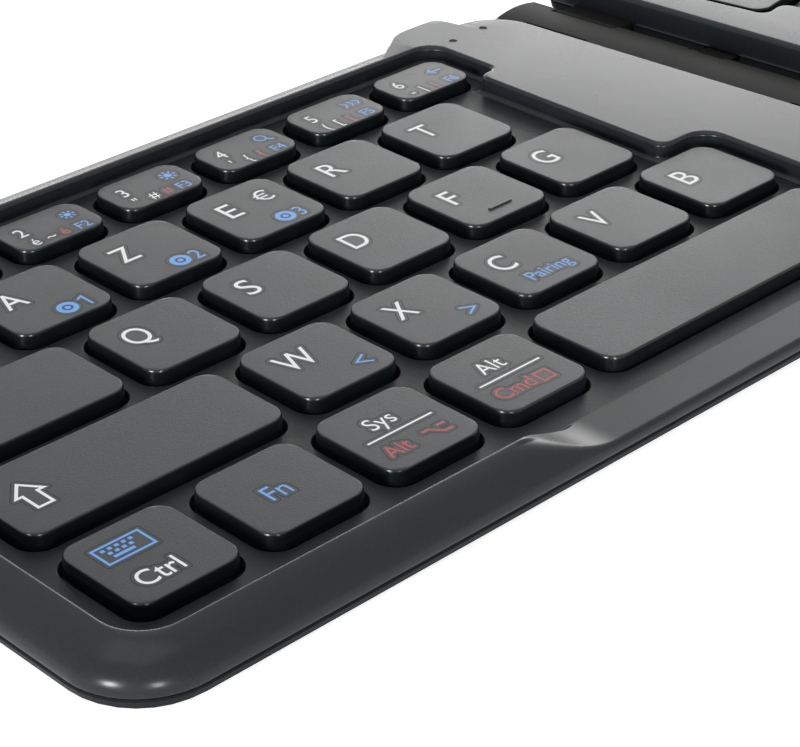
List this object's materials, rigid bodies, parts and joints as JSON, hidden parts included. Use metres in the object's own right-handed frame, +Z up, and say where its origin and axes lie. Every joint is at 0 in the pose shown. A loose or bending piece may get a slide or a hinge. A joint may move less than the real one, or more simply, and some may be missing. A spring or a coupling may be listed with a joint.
{
  "type": "folding keyboard",
  "caption": "Folding keyboard: two keyed halves set at a slight angle on a central spine with two hinge axes; keys travel on springs.",
  "frame": {"origin": "middle of the open keyboard's box, on the surface that it lies on", "axes": "+X to the user's right along the open keyboard, +Y away from the user, +Z up"},
  "size_m": [0.3512, 0.1182, 0.0073],
  "materials": {
    "case": "fine matte moulded plastic, charcoal",
    "keys": "satin moulded plastic, charcoal, with printed legends",
    "spine": "matte plastic, dark olive grey",
    "steel": "plain steel",
    "rubber": "matte rubber",
    "dome_sheet": "translucent silicone domes on a film",
    "scissors": "natural plastic",
    "battery": "silver pouch",
    "board": "green circuit board",
    "lights": "clear light pipe",
    "flex": "amber flat cable"
  },
  "bodies": {
    "left_half": {"left_top_case": "case", "left_bottom_case": "case", "left_hinge_leaf": "steel", "left_support_plate": "steel", "left_dome_sheet": "dome_sheet", "left_scissors": "scissors", "battery": "battery", "main_board": "board", "charging_socket": "steel", "status_lights": "lights", "left_feet": "rubber", "left_screws": "steel"},
    "spine": {"spine_base": "spine", "spine_cover": "spine", "hinge_pins": "steel", "flex_cable": "flex"},
    "right_half": {"right_top_case": "case", "right_bottom_case": "case", "right_hinge_leaf": "steel", "right_support_plate": "steel", "right_dome_sheet": "dome_sheet", "right_scissors": "scissors", "right_feet": "rubber", "right_screws": "steel"},
    "key_escape": {"key_escape": "keys"},
    "key_1": {"key_1": "keys"},
    "key_2": {"key_2": "keys"},
    "key_3": {"key_3": "keys"},
    "key_4": {"key_4": "keys"},
    "key_5": {"key_5": "keys"},
    "key_6": {"key_6": "keys"},
    "key_tab": {"key_tab": "keys"},
    "key_a": {"key_a": "keys"},
    "key_z": {"key_z": "keys"},
    "key_e": {"key_e": "keys"},
    "key_r": {"key_r": "keys"},
    "key_t": {"key_t": "keys"},
    "key_caps_lock": {"key_caps_lock": "keys"},
    "key_q": {"key_q": "keys"},
    "key_s": {"key_s": "keys"},
    "key_d": {"key_d": "keys"},
    "key_f": {"key_f": "keys"},
    "key_g": {"key_g": "keys"},
    "key_left_shift": {"key_left_shift": "keys"},
    "key_w": {"key_w": "keys"},
    "key_x": {"key_x": "keys"},
    "key_c": {"key_c": "keys"},
    "key_v": {"key_v": "keys"},
    "key_b": {"key_b": "keys"},
    "key_left_control": {"key_left_control": "keys"},
    "key_function": {"key_function": "keys"},
    "key_system": {"key_system": "keys"},
    "key_left_alt": {"key_left_alt": "keys"},
    "key_left_space": {"key_left_space": "keys"},
    "right_number_row": {"right_number_row": "keys"},
    "right_top_row": {"right_top_row": "keys"},
    "right_home_row": {"right_home_row": "keys"},
    "right_lower_row": {"right_lower_row": "keys"},
    "right_front_row": {"right_front_row": "keys"}
  },
  "joints": [
    {"name": "left_fold", "type": "hinge", "parent": "left_half", "child": "spine", "pos_m": [-0.0049, 0, 0.0026], "axis": [0, -1, 0], "range_deg": [0, 90], "deforming": ["flex_cable"]},
    {"name": "right_fold", "type": "hinge", "parent": "spine", "child": "right_half", "pos_m": [0.0049, 0, 0.0026], "axis": [0, -1, 0], "range_deg": [0, 90], "deforming": ["flex_cable"]},
    {"name": "key_escape_press", "type": "slide", "parent": "left_half", "child": "key_escape", "axis": [0, 0, 1], "range_m": [-0.0012, 0], "stiffness_N_per_m": 350, "springref_m": 0.0004, "deforming": ["left_dome_sheet", "left_scissors"]},
    {"name": "key_1_press", "type": "slide", "parent": "left_half", "child": "key_1", "axis": [0, 0, 1], "range_m": [-0.0012, 0], "stiffness_N_per_m": 350, "springref_m": 0.0004, "deforming": ["left_dome_sheet", "left_scissors"]},
    {"name": "key_2_press", "type": "slide", "parent": "left_half", "child": "key_2", "axis": [0, 0, 1], "range_m": [-0.0012, 0], "stiffness_N_per_m": 350, "springref_m": 0.0004, "deforming": ["left_dome_sheet", "left_scissors"]},
    {"name": "key_3_press", "type": "slide", "parent": "left_half", "child": "key_3", "axis": [0, 0, 1], "range_m": [-0.0012, 0], "stiffness_N_per_m": 350, "springref_m": 0.0004, "deforming": ["left_dome_sheet", "left_scissors"]},
    {"name": "key_4_press", "type": "slide", "parent": "left_half", "child": "key_4", "axis": [0, 0, 1], "range_m": [-0.0012, 0], "stiffness_N_per_m": 350, "springref_m": 0.0004, "deforming": ["left_dome_sheet", "left_scissors"]},
    {"name": "key_5_press", "type": "slide", "parent": "left_half", "child": "key_5", "axis": [0, 0, 1], "range_m": [-0.0012, 0], "stiffness_N_per_m": 350, "springref_m": 0.0004, "deforming": ["left_dome_sheet", "left_scissors"]},
    {"name": "key_6_press", "type": "slide", "parent": "left_half", "child": "key_6", "axis": [0, 0, 1], "range_m": [-0.0012, 0], "stiffness_N_per_m": 350, "springref_m": 0.0004, "deforming": ["left_dome_sheet", "left_scissors"]},
    {"name": "key_tab_press", "type": "slide", "parent": "left_half", "child": "key_tab", "axis": [0, 0, 1], "range_m": [-0.0012, 0], "stiffness_N_per_m": 350, "springref_m": 0.0004, "deforming": ["left_dome_sheet", "left_scissors"]},
    {"name": "key_a_press", "type": "slide", "parent": "left_half", "child": "key_a", "axis": [0, 0, 1], "range_m": [-0.0012, 0], "stiffness_N_per_m": 350, "springref_m": 0.0004, "deforming": ["left_dome_sheet", "left_scissors"]},
    {"name": "key_z_press", "type": "slide", "parent": "left_half", "child": "key_z", "axis": [0, 0, 1], "range_m": [-0.0012, 0], "stiffness_N_per_m": 350, "springref_m": 0.0004, "deforming": ["left_dome_sheet", "left_scissors"]},
    {"name": "key_e_press", "type": "slide", "parent": "left_half", "child": "key_e", "axis": [0, 0, 1], "range_m": [-0.0012, 0], "stiffness_N_per_m": 350, "springref_m": 0.0004, "deforming": ["left_dome_sheet", "left_scissors"]},
    {"name": "key_r_press", "type": "slide", "parent": "left_half", "child": "key_r", "axis": [0, 0, 1], "range_m": [-0.0012, 0], "stiffness_N_per_m": 350, "springref_m": 0.0004, "deforming": ["left_dome_sheet", "left_scissors"]},
    {"name": "key_t_press", "type": "slide", "parent": "left_half", "child": "key_t", "axis": [0, 0, 1], "range_m": [-0.0012, 0], "stiffness_N_per_m": 350, "springref_m": 0.0004, "deforming": ["left_dome_sheet", "left_scissors"]},
    {"name": "key_caps_lock_press", "type": "slide", "parent": "left_half", "child": "key_caps_lock", "axis": [0, 0, 1], "range_m": [-0.0012, 0], "stiffness_N_per_m": 350, "springref_m": 0.0004, "deforming": ["left_dome_sheet", "left_scissors"]},
    {"name": "key_q_press", "type": "slide", "parent": "left_half", "child": "key_q", "axis": [0, 0, 1], "range_m": [-0.0012, 0], "stiffness_N_per_m": 350, "springref_m": 0.0004, "deforming": ["left_dome_sheet", "left_scissors"]},
    {"name": "key_s_press", "type": "slide", "parent": "left_half", "child": "key_s", "axis": [0, 0, 1], "range_m": [-0.0012, 0], "stiffness_N_per_m": 350, "springref_m": 0.0004, "deforming": ["left_dome_sheet", "left_scissors"]},
    {"name": "key_d_press", "type": "slide", "parent": "left_half", "child": "key_d", "axis": [0, 0, 1], "range_m": [-0.0012, 0], "stiffness_N_per_m": 350, "springref_m": 0.0004, "deforming": ["left_dome_sheet", "left_scissors"]},
    {"name": "key_f_press", "type": "slide", "parent": "left_half", "child": "key_f", "axis": [0, 0, 1], "range_m": [-0.0012, 0], "stiffness_N_per_m": 350, "springref_m": 0.0004, "deforming": ["left_dome_sheet", "left_scissors"]},
    {"name": "key_g_press", "type": "slide", "parent": "left_half", "child": "key_g", "axis": [0, 0, 1], "range_m": [-0.0012, 0], "stiffness_N_per_m": 350, "springref_m": 0.0004, "deforming": ["left_dome_sheet", "left_scissors"]},
    {"name": "key_left_shift_press", "type": "slide", "parent": "left_half", "child": "key_left_shift", "axis": [0, 0, 1], "range_m": [-0.0012, 0], "stiffness_N_per_m": 350, "springref_m": 0.0004, "deforming": ["left_dome_sheet", "left_scissors"]},
    {"name": "key_w_press", "type": "slide", "parent": "left_half", "child": "key_w", "axis": [0, 0, 1], "range_m": [-0.0012, 0], "stiffness_N_per_m": 350, "springref_m": 0.0004, "deforming": ["left_dome_sheet", "left_scissors"]},
    {"name": "key_x_press", "type": "slide", "parent": "left_half", "child": "key_x", "axis": [0, 0, 1], "range_m": [-0.0012, 0], "stiffness_N_per_m": 350, "springref_m": 0.0004, "deforming": ["left_dome_sheet", "left_scissors"]},
    {"name": "key_c_press", "type": "slide", "parent": "left_half", "child": "key_c", "axis": [0, 0, 1], "range_m": [-0.0012, 0], "stiffness_N_per_m": 350, "springref_m": 0.0004, "deforming": ["left_dome_sheet", "left_scissors"]},
    {"name": "key_v_press", "type": "slide", "parent": "left_half", "child": "key_v", "axis": [0, 0, 1], "range_m": [-0.0012, 0], "stiffness_N_per_m": 350, "springref_m": 0.0004, "deforming": ["left_dome_sheet", "left_scissors"]},
    {"name": "key_b_press", "type": "slide", "parent": "left_half", "child": "key_b", "axis": [0, 0, 1], "range_m": [-0.0012, 0], "stiffness_N_per_m": 350, "springref_m": 0.0004, "deforming": ["left_dome_sheet", "left_scissors"]},
    {"name": "key_left_control_press", "type": "slide", "parent": "left_half", "child": "key_left_control", "axis": [0, 0, 1], "range_m": [-0.0012, 0], "stiffness_N_per_m": 350, "springref_m": 0.0004, "deforming": ["left_dome_sheet", "left_scissors"]},
    {"name": "key_function_press", "type": "slide", "parent": "left_half", "child": "key_function", "axis": [0, 0, 1], "range_m": [-0.0012, 0], "stiffness_N_per_m": 350, "springref_m": 0.0004, "deforming": ["left_dome_sheet", "left_scissors"]},
    {"name": "key_system_press", "type": "slide", "parent": "left_half", "child": "key_system", "axis": [0, 0, 1], "range_m": [-0.0012, 0], "stiffness_N_per_m": 350, "springref_m": 0.0004, "deforming": ["left_dome_sheet", "left_scissors"]},
    {"name": "key_left_alt_press", "type": "slide", "parent": "left_half", "child": "key_left_alt", "axis": [0, 0, 1], "range_m": [-0.0012, 0], "stiffness_N_per_m": 350, "springref_m": 0.0004, "deforming": ["left_dome_sheet", "left_scissors"]},
    {"name": "key_left_space_press", "type": "slide", "parent": "left_half", "child": "key_left_space", "axis": [0, 0, 1], "range_m": [-0.0012, 0], "stiffness_N_per_m": 350, "springref_m": 0.0004, "deforming": ["left_dome_sheet", "left_scissors"]},
    {"name": "right_number_row_press", "type": "slide", "parent": "right_half", "child": "right_number_row", "axis": [0, 0, 1], "range_m": [-0.0012, 0], "stiffness_N_per_m": 2450, "springref_m": 0.0004, "deforming": ["right_dome_sheet", "right_scissors"]},
    {"name": "right_top_row_press", "type": "slide", "parent": "right_half", "child": "right_top_row", "axis": [0, 0, 1], "range_m": [-0.0012, 0], "stiffness_N_per_m": 2450, "springref_m": 0.0004, "deforming": ["right_dome_sheet", "right_scissors"]},
    {"name": "right_home_row_press", "type": "slide", "parent": "right_half", "child": "right_home_row", "axis": [0, 0, 1], "range_m": [-0.0012, 0], "stiffness_N_per_m": 2450, "springref_m": 0.0004, "deforming": ["right_dome_sheet", "right_scissors"]},
    {"name": "right_lower_row_press", "type": "slide", "parent": "right_half", "child": "right_lower_row", "axis": [0, 0, 1], "range_m": [-0.0012, 0], "stiffness_N_per_m": 2100, "springref_m": 0.0004, "deforming": ["right_dome_sheet", "right_scissors"]},
    {"name": "right_front_row_press", "type": "slide", "parent": "right_half", "child": "right_front_row", "axis": [0, 0, 1], "range_m": [-0.0012, 0], "stiffness_N_per_m": 2100, "springref_m": 0.0004, "deforming": ["right_dome_sheet", "right_scissors"]}
  ]
}
